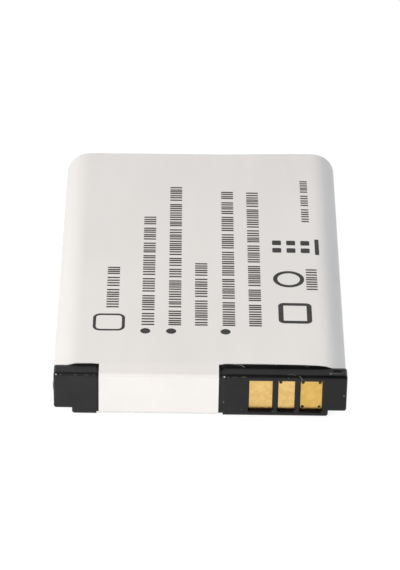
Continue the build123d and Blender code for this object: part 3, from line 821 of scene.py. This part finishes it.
def ink_outline(vertices, faces, x, y, width, length, corner, stroke):
    """One hollow shape of ink, drawn with a stroke."""
    outer = rounded_outline(x, y, width, length, corner)
    inner = rounded_outline(x, y, width - 2 * stroke, length - 2 * stroke, corner - stroke)
    start = len(vertices)
    count = len(outer)
    vertices.extend(on_label(*point) for point in outer + inner)
    for place in range(count):
        after = (place + 1) % count
        faces.append((start + place, start + after, start + count + after, start + count + place))


def ink_row(vertices, faces, x, y_start, y_end, width, chance):
    """A row of plain strokes across it, in groups of different lengths."""
    y = y_start
    while y < y_end - GROUP_LENGTHS[0]:
        group_end = min(y + chance.uniform(*GROUP_LENGTHS), y_end)
        while y < group_end:
            ink_patch(vertices, faces, x, y + STROKE / 2, width, STROKE, STROKE_CORNER)
            y += chance.uniform(*STROKE_SPACING)
        y += GROUP_SPACE


chance = random.Random(PRINT_SEED)
vertices, faces = [], []
for x, y_start, y_end, width_share, dot_offset in ROWS:
    ink_row(vertices, faces, x, y_start, y_end, width_share * ROW_WIDTH, chance)
    if dot_offset is not None:
        ink_patch(vertices, faces, x + dot_offset, DOT_BACK, DOT_WIDTH, DOT_WIDTH, DOT_WIDTH / 2)
for outline in OUTLINES:
    ink_outline(vertices, faces, *outline)
for x in SQUARES_ACROSS:
    for y in SQUARES_BACK:
        ink_patch(vertices, faces, x, y, SQUARE_WIDTH, SQUARE_WIDTH, SQUARE_CORNER)
ink_patch(vertices, faces, *BAR_PLACE, BAR_WIDTH, BAR_LENGTH, BAR_CORNER)
ink = clouded_finish(
    "ink",
    {"Light": (0.045, 0.045, 0.047, 1), "Dark": (0.03, 0.03, 0.031, 1), "Scale": 1800.0},
    {"Scale": 5000.0, "Roughest": 0.6, "Smoothest": 0.45},
    relief=0.002 * MM,
)
ink_mesh = bpy.data.meshes.new("label_ink")
ink_mesh.from_pydata(vertices, [], faces)
ink_mesh.materials.append(ink)
label_ink = bpy.data.objects.new("label_ink", ink_mesh)
bpy.context.scene.collection.objects.link(label_ink)
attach(label_ink, "root")

# Floor: a wide sheet of white paper under the pack. What looks straight at it sees white with the pack's
# faint shadow, and what it lights gets the light of plain paper.
FLOOR_HALF = 1.6
FLOOR_HEIGHT = -0.02 * MM
GLOW = 0.91
SHADOW_GREY = (0.2, 0.2, 0.2, 1)
FLOOR_SIDES = ((-1, -1), (1, -1), (1, 1), (-1, 1))
floor_corners = [(side * FLOOR_HALF, end * FLOOR_HALF, FLOOR_HEIGHT) for side, end in FLOOR_SIDES]
floor_mesh = bpy.data.meshes.new("floor")
floor_mesh.from_pydata(floor_corners, [], [(0, 1, 2, 3)])
floor = bpy.data.objects.new("floor", floor_mesh)
bpy.context.scene.collection.objects.link(floor)
floor_paper, tree = start_finish("floor_paper")
tint = use_effect(
    tree, clouding, {"Light": (0.83, 0.83, 0.83, 1), "Dark": (0.81, 0.81, 0.81, 1), "Scale": 20.0}
)
paper = add_node(tree, "BsdfDiffuse", {"Color": tint["Colour"]}).outputs[0]
shadow_catcher = add_node(tree, "BsdfDiffuse", {"Color": SHADOW_GREY}).outputs[0]
glow = add_node(tree, "Emission", {"Color": (1, 1, 1, 1), "Strength": GLOW}).outputs[0]
seen_white = add_node(tree, "AddShader", {0: shadow_catcher, 1: glow}).outputs[0]
rays = add_node(tree, "LightPath").outputs
mirrored_or_through = maths(tree, "MAXIMUM", rays["Is Glossy Ray"], rays["Is Transmission Ray"])
seen = maths(tree, "MAXIMUM", rays["Is Camera Ray"], mirrored_or_through)
surface = add_node(tree, "MixShader", {0: seen, 1: paper, 2: seen_white})
add_node(tree, "OutputMaterial", {"Surface": surface.outputs[0]})
floor_mesh.materials.append(floor_paper)

# Studio: a room of white paper, dim overhead and high at the front, with one large soft lamp at the front
# left. What looks straight past the pack sees white.
OVERHEAD_LIGHT = (0.64, 0.62, 0.602, 1)
SIDE_LIGHT = (0.12, 0.235, 0.355, 1)
SIDE_TO_OVERHEAD = (0.1, 0.8)
WHITE_PAPER = (1, 1, 1, 1)
UPPER_PAPER = (0.58, 0.58, 0.61, 1)
WHITE_TO_UPPER = (0.25, 0.55)
DIM_ROOM = (0.05, 0.05, 0.055, 1)
DIM_OVERHEAD = (0.56, 0.78)
DIM_FRONT = (0.3, 0.7)
FRONT = (0.0, -0.85, 0.53)
room = bpy.data.worlds.new("room")
bpy.context.scene.world = room
room.use_nodes = True
tree = room.node_tree
tree.nodes.clear()
rays = add_node(tree, "LightPath").outputs
direction = add_node(tree, "TexCoord").outputs["Generated"]
upward = along_axis(tree, direction, "Z")
towards_front = vector_maths(tree, "DOT_PRODUCT", direction, FRONT, "Value")
falling_off = blend(tree, in_range(tree, upward, *WHITE_TO_UPPER), WHITE_PAPER, UPPER_PAPER)
dim = maths(tree, "MAXIMUM", in_range(tree, towards_front, *DIM_FRONT), in_range(tree, upward, *DIM_OVERHEAD))
mirrored = blend(tree, dim, falling_off, DIM_ROOM)
soft = blend(tree, in_range(tree, upward, *SIDE_TO_OVERHEAD), SIDE_LIGHT, OVERHEAD_LIGHT)
seen_direct = maths(tree, "MAXIMUM", rays["Is Camera Ray"], rays["Is Transmission Ray"])
lit = blend(tree, rays["Is Glossy Ray"], soft, mirrored)
seen_colour = blend(tree, seen_direct, lit, WHITE_PAPER)
background = add_node(tree, "Background", {"Color": seen_colour, "Strength": 1.0})
add_node(tree, "OutputWorld", {"Surface": background.outputs[0]})

LAMP_WAY = Vector((-0.41, -0.53, 0.42)).normalized()
LAMP_DISTANCE = 0.55
key_light = bpy.data.lights.new("key_lamp", "AREA")
key_light.size = 0.3
key_light.energy = 2.36
key_light.color = (1.0, 0.926, 0.849)
key_lamp = bpy.data.objects.new("key_lamp", key_light)
lamp_turn = LAMP_WAY.to_track_quat("Z", "Y").to_matrix().to_4x4()
key_lamp.matrix_world = Matrix.Translation(LAMP_WAY * LAMP_DISTANCE) @ lamp_turn
bpy.context.scene.collection.objects.link(key_lamp)
